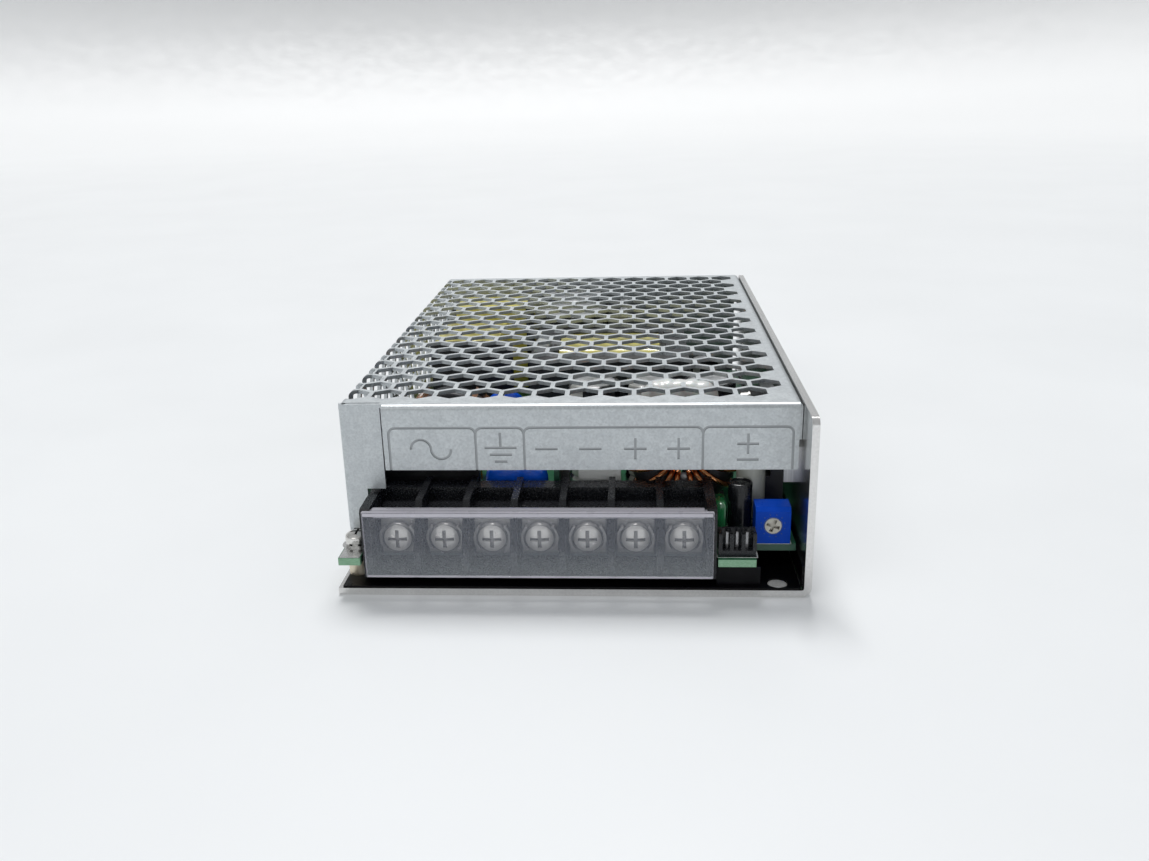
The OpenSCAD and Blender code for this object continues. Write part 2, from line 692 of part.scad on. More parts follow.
// Separate turns from one side of the ring's foot round to the other, with a lead at each end.
module output_choke_winding() color("#b8682c") translate([choke_at[0], choke_at[1], choke_z]) {
    lead_x = (choke_d - wire_d) / 2 * sin(18);
    for (x = [-lead_x, lead_x]) translate([x, 0, -choke_d / 2]) cylinder(d = wire_d, h = 1.3);
    rotate([90, 0, 0]) for (i = [0 : choke_turns - 1]) rotate(-72 + i * 324 / (choke_turns - 1))
        translate([choke_mean_r, 0, 0]) rotate([90, 0, 0]) rotate_extrude()
        translate([choke_core_r + wire_d / 2 + bore_gap, 0]) circle(wire_d / 2);
}

// A row of soft white beads, flat underneath.
module bead_row(at, r, step, sunk) translate(at) intersection() {
    for (i = [-1 : 1]) translate(i * step) sphere(r);
    translate([0, 0, 10 - sunk]) cube([40, 40, 20], center = true);
}

module silicone_beads() color("#e8e8e4") {
    bead_row([choke_at[0] - 1, choke_at[1], choke_z + choke_d / 2 - 1], 4.2, [4.4, 0, 0], 0);
    bead_row([trafo_at[0] - 17.7, trafo_at[1] - 8, trafo_z + trafo_core_half + 0.8], 2.5, [0, 2.2, 0], 0.8);
}

module output_capacitors() color("#20232a") {
    for (p = output_at) can(p, 6.2, 25, 0.7);
    can(grey_at, 3.1, 15, 0.4);
}

module aux_capacitors() color("#24272c") for (p = aux_at) can(p, 4, 12, 0.5);

module optocouplers() color("#e9e8e2") for (p = opto_at) block(p, [4.6, 4.6, 3.6]);

chassis();
cover();
insulation_sheet();
cover_screws();
board_standoffs();
main_board();
board_screws();
board_screw_washers();
terminal_block();
terminal_contacts();
terminal_cover();
terminal_screw(0);  // terminal_screw_1
terminal_screw(1);  // terminal_screw_2
terminal_screw(2);  // terminal_screw_3
terminal_screw(3);  // terminal_screw_4
terminal_screw(4);  // terminal_screw_5
terminal_screw(5);  // terminal_screw_6
terminal_screw(6);  // terminal_screw_7
terminal_washer(0);  // terminal_washer_1
terminal_washer(1);  // terminal_washer_2
terminal_washer(2);  // terminal_washer_3
terminal_washer(3);  // terminal_washer_4
terminal_washer(4);  // terminal_washer_5
terminal_washer(5);  // terminal_washer_6
terminal_washer(6);  // terminal_washer_7
header_housing();
header_pins();
trimmer_body();
trimmer_rotor();
sense_capacitor();
film_capacitor();
control_card();
card_chips();
varistor();
load_resistor();
fuse_tube();
fuse_clips();
line_choke_core();
line_choke_windings();
disc_capacitors();
inrush_thermistor();
bridge_rectifier();
box_capacitors();
boost_choke_core();
boost_choke_winding();
bulk_capacitors();
transformer_core();
transformer_bobbin();
transformer_winding();
heat_sink();
power_transistors();
output_rectifiers();
rectifier_spreaders();
rectifier_screws();
output_choke_core();
output_choke_winding();
silicone_beads();
output_capacitors();
aux_capacitors();
optocouplers();
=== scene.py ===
"""Looks for an enclosed switching power supply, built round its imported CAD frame.

Lengths are in millimetres unless a line says otherwise, and MM turns them into metres.
Places come from the frame's own boxes.
"""

import json
import math

import bmesh
import bpy
from mathutils import Matrix, Vector, noise


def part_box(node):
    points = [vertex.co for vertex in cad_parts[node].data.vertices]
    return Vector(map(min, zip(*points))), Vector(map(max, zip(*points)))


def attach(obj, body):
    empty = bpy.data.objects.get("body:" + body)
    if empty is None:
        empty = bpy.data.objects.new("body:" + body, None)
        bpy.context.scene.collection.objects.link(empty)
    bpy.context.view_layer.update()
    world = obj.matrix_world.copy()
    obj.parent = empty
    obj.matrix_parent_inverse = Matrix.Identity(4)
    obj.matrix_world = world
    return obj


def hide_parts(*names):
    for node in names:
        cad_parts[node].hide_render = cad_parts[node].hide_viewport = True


MM = 0.001
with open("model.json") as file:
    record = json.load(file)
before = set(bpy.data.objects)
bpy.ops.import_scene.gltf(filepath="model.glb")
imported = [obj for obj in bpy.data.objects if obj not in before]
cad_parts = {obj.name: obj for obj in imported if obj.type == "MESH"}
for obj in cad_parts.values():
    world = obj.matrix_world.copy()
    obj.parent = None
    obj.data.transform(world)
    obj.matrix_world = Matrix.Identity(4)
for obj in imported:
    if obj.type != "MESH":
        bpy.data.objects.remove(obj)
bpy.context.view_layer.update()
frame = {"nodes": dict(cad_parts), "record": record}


# ---- stage ----

def make_camera():
    """A camera in front of the terminals, a little to the right and above."""
    place = Vector((13.1, -269.2, 101.4)) * MM
    heading, tilt, roll = math.radians(4.27), math.radians(18.69), math.radians(-1.64)
    data = bpy.data.cameras.new("camera")
    data.sensor_width = 36.0
    data.lens = 32.96
    data.shift_x = 0.0123
    data.clip_start = 0.01
    data.clip_end = 20.0
    camera = bpy.data.objects.new("camera", data)
    turn = (
        Matrix.Rotation(heading, 4, "Z")
        @ Matrix.Rotation(math.radians(90) - tilt, 4, "X")
        @ Matrix.Rotation(roll, 4, "Z")
    )
    camera.matrix_world = Matrix.Translation(place) @ turn
    bpy.context.collection.objects.link(camera)
    bpy.context.scene.camera = camera


def make_sun(name, heading, power, spread):
    """A very soft overhead light: it shines along heading, and spread is its width in degrees."""
    data = bpy.data.lights.new(name, "SUN")
    data.energy = power
    data.angle = math.radians(spread)
    sun = bpy.data.objects.new(name, data)
    sun.rotation_mode = "QUATERNION"
    sun.rotation_quaternion = Vector(heading).to_track_quat("-Z", "Y")
    bpy.context.collection.objects.link(sun)


def make_light(name, place, target, size, power, color=(1.0, 1.0, 1.0)):
    """A square soft box that faces its target; sizes in metres."""
    data = bpy.data.lights.new(name, "AREA")
    data.shape = "SQUARE"
    data.size = size
    data.energy = power
    data.color = color
    light = bpy.data.objects.new(name, data)
    light.location = place
    light.rotation_mode = "QUATERNION"
    light.rotation_quaternion = (Vector(target) - Vector(place)).to_track_quat("-Z", "Y")
    bpy.context.collection.objects.link(light)


def make_floor():
    """A pale dish: flat under the object, curving up far away, so that no horizon shows."""
    centre, flat, bend, steps = 400.0, 1600.0, 1000.0, 12
    clearance = 0.02
    rings = [(0.0, 0.0), (centre, 0.0), (flat, 0.0)]
    rings += [
        (flat + bend * math.sin(a), bend * (1 - math.cos(a)))
        for a in (math.radians(90) * i / steps for i in range(1, steps + 1))
    ]
    bm = bmesh.new()
    add_lathe(bm, rings, (0, 0, -clearance), segments=64)
    floor = bpy.data.objects.new("floor", finished_mesh("floor", bm, [floor_finish()]))
    bpy.context.collection.objects.link(floor)


def make_world():
    """Even, faintly cool light from all round."""
    world = bpy.data.worlds.new("studio")
    world.use_nodes = True
    background = world.node_tree.nodes["Background"]
    background.inputs["Color"].default_value = (0.95, 0.975, 1.0, 1)
    background.inputs["Strength"].default_value = 0.46
    bpy.context.scene.world = world


# ---- finishes ----

class Finish:
    """A Principled material whose detail is worked out from the piece's own coordinates."""

    def __init__(self, name, color, roughness, metallic=0.0, **sockets):
        self.material = bpy.data.materials.new(name)
        self.material.use_nodes = True
        self.tree = self.material.node_tree
        self.shader = self.tree.nodes["Principled BSDF"]
        self.shader.inputs["Base Color"].default_value = (*color, 1)
        self.shader.inputs["Roughness"].default_value = roughness
        self.shader.inputs["Metallic"].default_value = metallic
        for key, value in sockets.items():
            self.shader.inputs[key.replace("_", " ").title().replace("Ior", "IOR")].default_value = value
        self.color = (*color, 1)
        self.place = self.add("ShaderNodeTexCoord").outputs["Object"]

    def add(self, kind, inputs=None, **settings):
        """A new node; inputs may be values or other nodes' outputs."""
        node = self.tree.nodes.new(kind)
        for key, value in settings.items():
            setattr(node, key, value)
        for key, value in (inputs or {}).items():
            if isinstance(value, bpy.types.NodeSocket):
                self.tree.links.new(value, node.inputs[key])
            else:
                node.inputs[key].default_value = value
        return node

    def stretched(self, stretch):
        return self.add("ShaderNodeMapping", {"Vector": self.place, "Scale": stretch}).outputs[0]

    def grain(self, size, stretch=(1, 1, 1), detail=3.0):
        """Soft noise whose grains are about size millimetres across; a stretch under 1 lengthens them."""
        inputs = {"Vector": self.stretched(stretch), "Scale": 1 / (size * MM), "Detail": detail}
        return self.add("ShaderNodeTexNoise", inputs).outputs["Fac"]

    def crystals(self, size):
        """Flat-toned cells, as on galvanised steel, each with a tone from 0 to 1."""
        inputs = {"Vector": self.place, "Scale": 1 / (size * MM)}
        color = self.add("ShaderNodeTexVoronoi", inputs).outputs["Color"]
        return self.add("ShaderNodeSeparateColor", {"Color": color}).outputs[0]

    def along(self, axis, vector=None):
        """One coordinate of the place on the piece, or of another vector."""
        if vector is None:
            vector = self.place
        return self.add("ShaderNodeSeparateXYZ", {"Vector": vector}).outputs[axis]

    def facing(self, axis):
        """One coordinate of the direction that the surface faces."""
        return self.along(axis, self.add("ShaderNodeTexCoord").outputs["Normal"])

    def bands(self, size, axis, sharp=False):
        """Stripes across one axis, size millimetres apart."""
        wave = self.math("SINE", self.math("MULTIPLY", self.along(axis), 2 * math.pi / (size * MM)))
        return self.math("GREATER_THAN", wave, 0.0) if sharp else self.between(wave, -1, 1, 0, 1)

    def math(self, operation, first, second=0.0):
        return self.add("ShaderNodeMath", {0: first, 1: second}, operation=operation).outputs[0]

    def between(self, value, low, high, new_low=0.0, new_high=1.0):
        """Maps a value's stretch from low to high onto another stretch, held at its ends."""
        inputs = {"Value": value, "From Min": low, "From Max": high, "To Min": new_low, "To Max": new_high}
        return self.add("ShaderNodeMapRange", inputs).outputs[0]

    def tint(self, amount, color):
        """Moves the colour towards another one by an amount from 0 to 1."""
        mix = self.add("ShaderNodeMix", {0: amount, 7: (*color, 1)}, data_type="RGBA")
        if isinstance(self.color, tuple):
            mix.inputs[6].default_value = self.color
        else:
            self.tree.links.new(self.color, mix.inputs[6])
        self.color = mix.outputs[2]
        self.tree.links.new(self.color, self.shader.inputs["Base Color"])
        return self

    def rough(self, amount, low, high):
        """Lets the roughness follow an amount from 0 to 1."""
        self.tree.links.new(self.between(amount, 0, 1, low, high), self.shader.inputs["Roughness"])
        return self

    def bump(self, height, depth):
        """Adds relief; depth is in millimetres."""
        normal = self.shader.inputs["Normal"]
        node = self.add("ShaderNodeBump", {"Height": height, "Distance": depth * MM, "Strength": 1.0})
        if normal.is_linked:
            self.tree.links.new(normal.links[0].from_socket, node.inputs["Normal"])
        self.tree.links.new(node.outputs["Normal"], normal)
        return self

    def facing_up(self):
        """1 on faces that look up or down, 0 on upright ones."""
        return self.math("GREATER_THAN", self.math("ABSOLUTE", self.facing("Z")), 0.6)

    def crevices(self, size):
        """1 down in slots and inner corners, 0 on open faces."""
        settings = {"samples": 8, "only_local": True}
        shade = self.add("ShaderNodeAmbientOcclusion", {"Distance": size * MM}, **settings)
        return self.between(shade.outputs["AO"], 0.8, 0.4)

    def corners(self, size):
        """1 along sharp outer edges, from the way that a rounded normal would differ there."""
        smooth = self.add("ShaderNodeBevel", {"Radius": size * MM}, samples=4).outputs[0]
        plain = self.add("ShaderNodeNewGeometry").outputs["Normal"]
        same = self.add("ShaderNodeVectorMath", {0: smooth, 1: plain}, operation="DOT_PRODUCT")
        return self.between(same.outputs["Value"], 0.97, 0.75)


def floor_finish():
    """Pale paper, painted lighter far behind the object and darker in front of it, as painted light and
    painted shade.
    """
    finish = Finish("floor_paper", (0.86, 0.875, 0.885), 0.5)
    finish.tint(finish.between(finish.grain(90), 0.35, 0.75), (0.83, 0.845, 0.855))
    depth = finish.along("Y")
    # painted light: the floor colour brightens far behind the object
    finish.tint(finish.between(depth, 100 * MM, 2200 * MM), (0.99, 0.99, 0.985))
    # painted shade: the floor colour darkens in front of the object
    finish.tint(finish.between(depth, 0.0, -300 * MM, 0, 0.9), (0.77, 0.785, 0.80))
    return finish.rough(finish.grain(30), 0.4, 0.6)


def aluminium_finish():
    """Rolled plate, brushed along Y, with faint handling marks."""
    finish = Finish("rolled_aluminium", (0.80, 0.79, 0.775), 0.2, metallic=1.0)
    lines = finish.grain(0.5, stretch=(1, 0.02, 1), detail=4.0)
    finish.tint(finish.between(lines, 0.3, 0.7), (0.70, 0.69, 0.68))
    finish.tint(finish.between(finish.grain(14), 0.55, 0.8, 0, 0.5), (0.88, 0.87, 0.85))
    finish.rough(finish.grain(6, stretch=(1, 0.2, 1)), 0.14, 0.28)
    return finish.bump(lines, 0.0015)


def zinc_finish():
    """Galvanised sheet: cool grey with fine spangle, and darker on the floor of the stamped lines."""
    finish = Finish("galvanised_steel", (0.52, 0.55, 0.565), 0.42, metallic=1.0)
    finish.tint(finish.between(finish.crystals(1.1), 0, 1, 0, 0.55), (0.63, 0.66, 0.67))
    finish.tint(finish.between(finish.grain(0.45), 0.4, 0.75, 0, 0.65), (0.40, 0.42, 0.435))
    finish.tint(finish.between(finish.grain(18), 0.5, 0.8, 0, 0.35), (0.44, 0.465, 0.48))
    # the floor of the stamped lines is made darker
    finish.tint(stamped_lines(finish), (0.335, 0.35, 0.36))
    finish.rough(finish.grain(2.5), 0.34, 0.52)
    return finish.bump(finish.grain(0.5), 0.006)


def stamped_lines(finish):
    """1 on the floor of the lines stamped into the cover's front lip."""
    low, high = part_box("cover")
    depth = finish.along("Y")
    sunk = finish.between(depth, low.y + 0.05 * MM, low.y + 0.12 * MM)
    shallow = finish.math("LESS_THAN", depth, low.y + 0.3 * MM)
    on_label = finish.math("LESS_THAN", finish.along("Z"), high.z - 3 * MM)
    on_lip = finish.math("MULTIPLY", sunk, shallow)
    return finish.math("MULTIPLY", on_lip, on_label)


def film_finish():
    finish = Finish("insulating_film", (0.002, 0.002, 0.003), 0.3, specular_ior_level=0.15)
    finish.tint(finish.between(finish.grain(3), 0.5, 0.8, 0, 0.6), (0.006, 0.006, 0.007))
    finish.rough(finish.grain(8), 0.2, 0.42)
    return finish.bump(finish.grain(7), 0.05)


def plated_finish(name, color, tone, metallic=1.0):
    """Plating mottled with a second tone, with painted shade darkening its slots."""
    finish = Finish(name, color, 0.24, metallic=metallic)
    finish.tint(finish.between(finish.grain(0.9), 0.45, 0.75, 0, 0.6), tone)
    # painted shade: ambient occlusion darkens the slots and inner corners
    finish.tint(finish.crevices(0.7), tuple(c * 0.16 for c in tone))
    finish.rough(finish.grain(1.6), 0.14, 0.34)
    return finish.bump(finish.grain(0.35), 0.004)


def terminal_screw_finish():
    """Bright nickel on the screws; the washers and plates behind their heads are darkened as painted shade.
    """
    finish = plated_finish("nickel_plating", (1.0, 0.97, 0.92), (0.92, 0.88, 0.82), 0.35)
    head_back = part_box("terminal_washer_1")[0].y - 0.02 * MM
    # painted shade: the nickel behind the front of the washers is darkened
    finish.tint(finish.math("GREATER_THAN", finish.along("Y"), head_back), (0.34, 0.33, 0.32))
    return finish


def bush_finish():
    finish = Finish("dull_brass", (0.68, 0.60, 0.46), 0.4, metallic=0.85)
    finish.tint(finish.between(finish.grain(1.5), 0.4, 0.7, 0, 0.6), (0.80, 0.76, 0.66))
    return finish.rough(finish.grain(1.0), 0.3, 0.55)


def board_finish():
    """Solder mask over faint tracks, painted shade on its upright faces, and pale laminate on the cut edge
    of the front tongues.
    """
    finish = Finish("circuit_board", (0.028, 0.16, 0.075), 0.3, coat_weight=0.5, coat_roughness=0.12)
    tracks = finish.math("MULTIPLY", finish.bands(2.4, "X", sharp=True), finish.bands(9, "Y", sharp=True))
    finish.tint(finish.between(tracks, 0, 1, 0, 0.7), (0.05, 0.27, 0.12))
    finish.tint(finish.between(finish.grain(5), 0.5, 0.75, 0, 0.4), (0.02, 0.11, 0.055))
    # painted shade: the upright faces of the board are darkened
    edge = finish.math("SUBTRACT", 1.0, finish.facing_up())
    finish.tint(edge, (0.025, 0.10, 0.06))
    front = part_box("main_board")[0].y
    cut = finish.math("MULTIPLY", edge, finish.math("LESS_THAN", finish.along("Y"), front + 1.0 * MM))
    finish.tint(cut, (0.17, 0.36, 0.21))
    fibres = finish.between(finish.grain(0.4, stretch=(1, 1, 4)), 0.4, 0.7)
    finish.tint(finish.math("MULTIPLY", cut, fibres), (0.26, 0.46, 0.30))
    finish.rough(finish.grain(0.8), 0.22, 0.4)
    return finish.bump(tracks, 0.02)


def moulded_finish(name, color, roughness=0.38, worn=0.5, shine=0.5, crevice_shade=None, depth=0.006):
    """Moulded plastic: a fine texture, slightly paler along its outer corners, painted shade in its slots.
    """
    finish = Finish(name, color, roughness, specular_ior_level=shine)
    pale = tuple(c * 1.8 + 0.02 for c in color)
    finish.tint(finish.between(finish.corners(0.2), 0, 1, 0, worn), pale)
    cloudy = tuple(c * 1.4 + 0.004 for c in color)
    finish.tint(finish.between(finish.grain(4), 0.5, 0.8, 0, 0.4), cloudy)
    if crevice_shade:
        # painted shade: ambient occlusion darkens the slots and inner corners
        finish.tint(finish.crevices(0.5), crevice_shade)
    finish.rough(finish.grain(0.6), roughness - 0.08, roughness + 0.1)
    return finish.bump(finish.grain(0.25), depth)


def block_finish():
    """Black moulding, with painted light paling the lower walls that face the front inside the wire cells.
    """
    finish = moulded_finish("block_black", (0.008, 0.009, 0.012), 0.26, worn=0.2, shine=0.4, depth=0.002)
    low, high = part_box("terminal_block")
    tall = high.z - low.z
    behind = finish.math("GREATER_THAN", finish.along("Y"), low.y + 1.5 * MM)
    fronting = finish.math("LESS_THAN", finish.facing("Y"), -0.3)
    beneath = finish.between(finish.along("Z"), low.z + 0.5 * tall, low.z + 0.2 * tall)
    painted_cell_light = finish.math("MULTIPLY", finish.math("MULTIPLY", behind, fronting), beneath)
    # painted light: the lower front-facing walls inside the cells are paled
    return finish.tint(painted_cell_light, (0.10, 0.115, 0.13))


def clear_finish():
    """Clear cover, slightly smoky and hazy, with painted light making it paler towards its lower edge."""
    finish = Finish("clear_plastic", (0.42, 0.45, 0.52), 0.06, alpha=0.14)
    low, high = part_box("terminal_cover")
    # painted light: the lower half is paled, as the lit block floor seen through it
    finish.tint(finish.between(finish.along("Z"), (low.z + high.z) / 2, low.z), (0.88, 0.95, 1.0))
    finish.tint(finish.between(finish.grain(9), 0.45, 0.75, 0, 0.3), (0.62, 0.66, 0.74))
    return finish.bump(finish.grain(30, stretch=(0.3, 1, 1), detail=1.0), 0.004)


def frosted_painted_light_finish():
    """The same plastic, frosted, and painted pale as painted light where light leaves through its edges."""
    finish = Finish("frosted_edge_painted_light", (0.62, 0.60, 0.66), 0.3, alpha=0.85)
    finish.tint(finish.between(finish.grain(5, stretch=(0.2, 1, 1)), 0.45, 0.7, 0, 0.5), (0.74, 0.72, 0.78))
    return finish.rough(finish.grain(3), 0.2, 0.4)


def sleeve_finish():
    finish = Finish("shrink_sleeve", (0.006, 0.007, 0.009), 0.2, specular_ior_level=0.35, coat_weight=0.15)
    finish.tint(finish.between(finish.grain(6), 0.5, 0.8, 0, 0.5), (0.016, 0.017, 0.022))
    finish.rough(finish.grain(1.2, stretch=(1, 1, 0.3)), 0.18, 0.34)
    return finish.bump(finish.grain(1.6, stretch=(1, 1, 0.15)), 0.03)


def grey_sleeve_finish():
    finish = Finish("grey_sleeve", (0.40, 0.41, 0.36), 0.3, coat_weight=0.5)
    finish.tint(finish.between(finish.grain(3), 0.4, 0.7, 0, 0.5), (0.50, 0.51, 0.45))
    return finish.bump(finish.grain(1.5, stretch=(1, 1, 0.2)), 0.03)


def stripe_finish():
    finish = Finish("sleeve_stripe", (0.62, 0.62, 0.58), 0.35, coat_weight=0.4)
    finish.tint(finish.between(finish.bands(2.4, "Z", sharp=True), 0, 1, 0, 0.55), (0.32, 0.32, 0.30))
    return finish.bump(finish.grain(1.5, stretch=(1, 1, 0.2)), 0.03)


def can_top_finish():
    finish = Finish("can_aluminium", (0.80, 0.80, 0.80), 0.3, metallic=1.0)
    finish.tint(finish.between(finish.grain(0.8), 0.4, 0.7, 0, 0.5), (0.62, 0.62, 0.63))
    return finish.rough(finish.grain(2), 0.22, 0.42)


def epoxy_finish(name, color, depth=0.05):
    """Dipped coating: glossy, with a slightly lumpy skin."""
    finish = Finish(name, color, 0.18, coat_weight=0.7, coat_roughness=0.06)
    finish.tint(finish.between(finish.grain(2.5), 0.4, 0.75, 0, 0.5), tuple(c * 1.7 for c in color))
    finish.rough(finish.grain(1.2), 0.12, 0.3)
    return finish.bump(finish.grain(2.2, detail=1.5), depth)


def ceramic_finish():
    finish = Finish("white_ceramic", (0.80, 0.80, 0.77), 0.55)
    finish.tint(finish.between(finish.grain(1.5), 0.45, 0.7, 0, 0.6), (0.68, 0.67, 0.63))
    finish.rough(finish.grain(0.7), 0.45, 0.7)
    return finish.bump(finish.grain(0.5), 0.03)


def ferrite_finish():
    finish = Finish("ferrite", (0.035, 0.036, 0.040), 0.45, metallic=0.2)
    finish.tint(finish.between(finish.grain(0.5), 0.5, 0.75, 0, 0.7), (0.09, 0.09, 0.095))
    finish.tint(finish.between(finish.corners(0.3), 0, 1, 0, 0.6), (0.13, 0.13, 0.135))
    return finish.bump(finish.grain(0.5), 0.02)


def copper_finish():
    """Enamelled wire: clear amber varnish over copper."""
    varnish = {"coat_weight": 0.8, "coat_roughness": 0.05}
    finish = Finish("enamelled_copper", (0.72, 0.30, 0.11), 0.22, metallic=1.0, **varnish)
    finish.tint(finish.between(finish.grain(2), 0.4, 0.7, 0, 0.6), (0.50, 0.18, 0.06))
    finish.tint(finish.between(finish.grain(0.8), 0.6, 0.8, 0, 0.5), (0.85, 0.48, 0.22))
    return finish.rough(finish.grain(1.5), 0.15, 0.32)


def tape_finish():
    """Yellow polyester tape, a little see-through where one layer ends."""
    finish = Finish("yellow_tape", (0.74, 0.66, 0.14), 0.25, coat_weight=0.6, coat_roughness=0.1)
    finish.tint(finish.between(finish.grain(6), 0.4, 0.7, 0, 0.6), (0.82, 0.77, 0.26))
    streaks = finish.between(finish.grain(1.2, stretch=(0.2, 1, 1)), 0.55, 0.8, 0, 0.4)
    finish.tint(streaks, (0.60, 0.48, 0.08))
    return finish.bump(finish.grain(3, stretch=(0.3, 1, 1)), 0.04)


def box_yellow_finish():
    finish = Finish("yellow_box", (0.74, 0.66, 0.16), 0.32, coat_weight=0.3)
    finish.tint(finish.between(finish.corners(0.3), 0, 1, 0, 0.5), (0.84, 0.78, 0.34))
    finish.tint(finish.between(finish.grain(5), 0.45, 0.75, 0, 0.4), (0.66, 0.56, 0.11))
    return finish.bump(finish.grain(0.4), 0.01)


def silicone_finish():
    finish = Finish("white_silicone", (0.66, 0.66, 0.64), 0.4, subsurface_weight=0.1, coat_weight=0.25)
    finish.tint(finish.between(finish.grain(2), 0.4, 0.7, 0, 0.5), (0.56, 0.56, 0.54))
    return finish.bump(finish.grain(1.5), 0.06)


def extruded_finish():
    finish = Finish("extruded_aluminium", (0.62, 0.63, 0.64), 0.38, metallic=1.0)
    lines = finish.grain(0.4, stretch=(1, 1, 0.02))
    finish.tint(finish.between(lines, 0.35, 0.7), (0.50, 0.51, 0.52))
    return finish.bump(lines, 0.01)


def solder_finish():
    finish = Finish("solder", (0.72, 0.72, 0.71), 0.22, metallic=1.0)
    finish.tint(finish.between(finish.grain(0.6), 0.4, 0.7, 0, 0.6), (0.55, 0.55, 0.54))
    return finish.bump(finish.grain(0.8), 0.02)


def print_finish():
    finish = Finish("white_print", (0.78, 0.80, 0.76), 0.55)
    finish.tint(finish.between(finish.grain(0.4), 0.45, 0.75, 0, 0.7), (0.55, 0.62, 0.55))
    return finish


# ---- mesh helpers ----

def add_box(bm, low, high, bevel=0.0, index=0, turn=None):
    """A box between two corners in millimetres, its edges rounded by bevel.

    The edges go to the bevel as an ordered list, so that each run numbers the mesh the same way.
    """
    low, high = Vector(low) * MM, Vector(high) * MM
    size = Matrix.Diagonal((*(high - low), 1))
    place = Matrix.Translation((low + high) / 2) @ (turn or Matrix()) @ size
    made = bmesh.ops.create_cube(bm, size=1.0, matrix=place)
    faces = {face for vert in made["verts"] for face in vert.link_faces}
    for face in faces:
        face.material_index = index
    if bevel:
        edges = list(dict.fromkeys(edge for vert in made["verts"] for edge in vert.link_edges))
        bmesh.ops.bevel(bm, geom=edges, offset=bevel * MM, segments=2, profile=0.5, affect="EDGES")


def add_lathe(bm, profile, at, axis="Z", segments=40, indices=None, stripe=None):
    """Turns (radius, height) points about an axis through at, all in millimetres.

    indices gives a material for each stretch of the profile; stripe is (first, last, index) for a
    strip of segments.
    """
    turn = {"X": Matrix.Rotation(math.radians(90), 3, "Y"), "Y": Matrix.Rotation(math.radians(-90), 3, "X")}
    turn = turn.get(axis, Matrix.Identity(3))
    rings = []
    for radius, height in profile:
        count = segments if radius > 1e-6 else 1
        angles = [2 * math.pi * i / segments for i in range(count)]
        points = [Vector((radius * math.cos(a), radius * math.sin(a), height)) for a in angles]
        rings.append([bm.verts.new((turn @ p + Vector(at)) * MM) for p in points])
    for step, (below, above) in enumerate(zip(rings, rings[1:])):
        index = indices[step] if indices else 0
        for i in range(segments):
            j = (i + 1) % segments
            corners = [below[i % len(below)], below[j % len(below)]]
            corners += [above[j % len(above)], above[i % len(above)]]
            unique = list(dict.fromkeys(corners))
            if len(unique) < 3:
                continue
            face = bm.faces.new(unique)
            striped = stripe and index == 0 and stripe[0] <= i < stripe[1]
            face.material_index = stripe[2] if striped else index


def finished_mesh(name, bm, finishes, sharp=35):
    """The bmesh as a mesh with its finishes, smooth except at edges sharper than an angle.

    Faces are first sorted by their corners, because what follows a bevel is numbered in varying order.
    """
    bm.verts.index_update()
    count = len(bm.verts)

    def order(face):
        a, b, c = sorted(vert.index for vert in face.verts)[:3]
        return (a * count + b) * count + c

    bm.faces.sort(key=order)
    bmesh.ops.recalc_face_normals(bm, faces=bm.faces)
    mesh = bpy.data.meshes.new(name)
    bm.to_mesh(mesh)
    bm.free()
    for finish in finishes:
        mesh.materials.append(finish.material)
    mesh.shade_smooth()
    mesh.set_sharp_from_angle(angle=math.radians(sharp))
    return mesh


def add_piece(name, bm, finishes, body="case", replaces=()):
    piece = bpy.data.objects.new(name, finished_mesh(name, bm, finishes))
    bpy.context.collection.objects.link(piece)
    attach(piece, body)
    if replaces:
        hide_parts(*replaces)
    return piece


def solids(node):
    """The box of each separate solid of a CAD node, in millimetres, from the front left."""
    bm = bmesh.new()
    bm.from_mesh(frame["nodes"][node].data)
    bmesh.ops.remove_doubles(bm, verts=bm.verts, dist=0.001 * MM)
    seen, boxes = set(), []
    for start in bm.verts:
        if start in seen:
            continue
        seen.add(start)
        group, todo = [], [start]
        while todo:
            vert = todo.pop()
            group.append(vert.co / MM)
            near = [edge.other_vert(vert) for edge in vert.link_edges]
            todo += [other for other in near if other not in seen]
            seen.update(near)
        low = Vector([min(point[i] for point in group) for i in range(3)])
        high = Vector([max(point[i] for point in group) for i in range(3)])
        boxes.append((low, high))
    bm.free()
    return sorted(boxes, key=lambda box: (round(box[0].y, 2), round(box[0].x, 2)))


# ---- made pieces ----

def make_cans(name, node, finishes, stripe_at=0.6, pale_below=0.0):
    """Electrolytic capacitors: sleeved can with a crimp groove, rolled rim and scored vent.

    Cans with a radius under pale_below take the fifth finish for their sleeve.
    """
    segments = 48
    bm = bmesh.new()
    for low, high in solids(node):
        middle = (low + high) / 2
        r = (high.x - low.x) / 2
        rim = min(0.9, r * 0.12)
        groove = low.z + min(2.2, (high.z - low.z) * 0.12)
        sunk = high.z - 0.35
        profile = [
            (r - 0.5, low.z), (r - 0.12, low.z + 0.25), (r, low.z + 0.7), (r, groove - 0.6),
            (r - 0.45, groove), (r, groove + 0.6), (r, high.z - rim),
            (r - rim * 0.3, high.z - rim * 0.3), (r - rim, high.z), (r - rim * 1.5, high.z - 0.1),
            (r - rim * 1.6, sunk), (0, sunk),
        ]
        first = int(segments * stripe_at)
        indices = [4 if r < pale_below else 0] * 9 + [1, 1]
        stripe = (first, first + 5, 2)
        add_lathe(bm, profile, (middle.x, middle.y, 0), segments=segments, indices=indices, stripe=stripe)
        top = Vector((middle.x, middle.y, high.z - 0.3))
        reach = (r - rim * 1.6) * 0.75
        for spoke in range(3):
            turn = Matrix.Rotation(math.radians(60 * spoke + 15), 4, "Z")
            corners = top - Vector((reach, 0.12, 0.1)), top + Vector((reach, 0.12, 0.03))
            add_box(bm, *corners, index=3, turn=turn)
    add_piece(name, bm, finishes, replaces=[node])


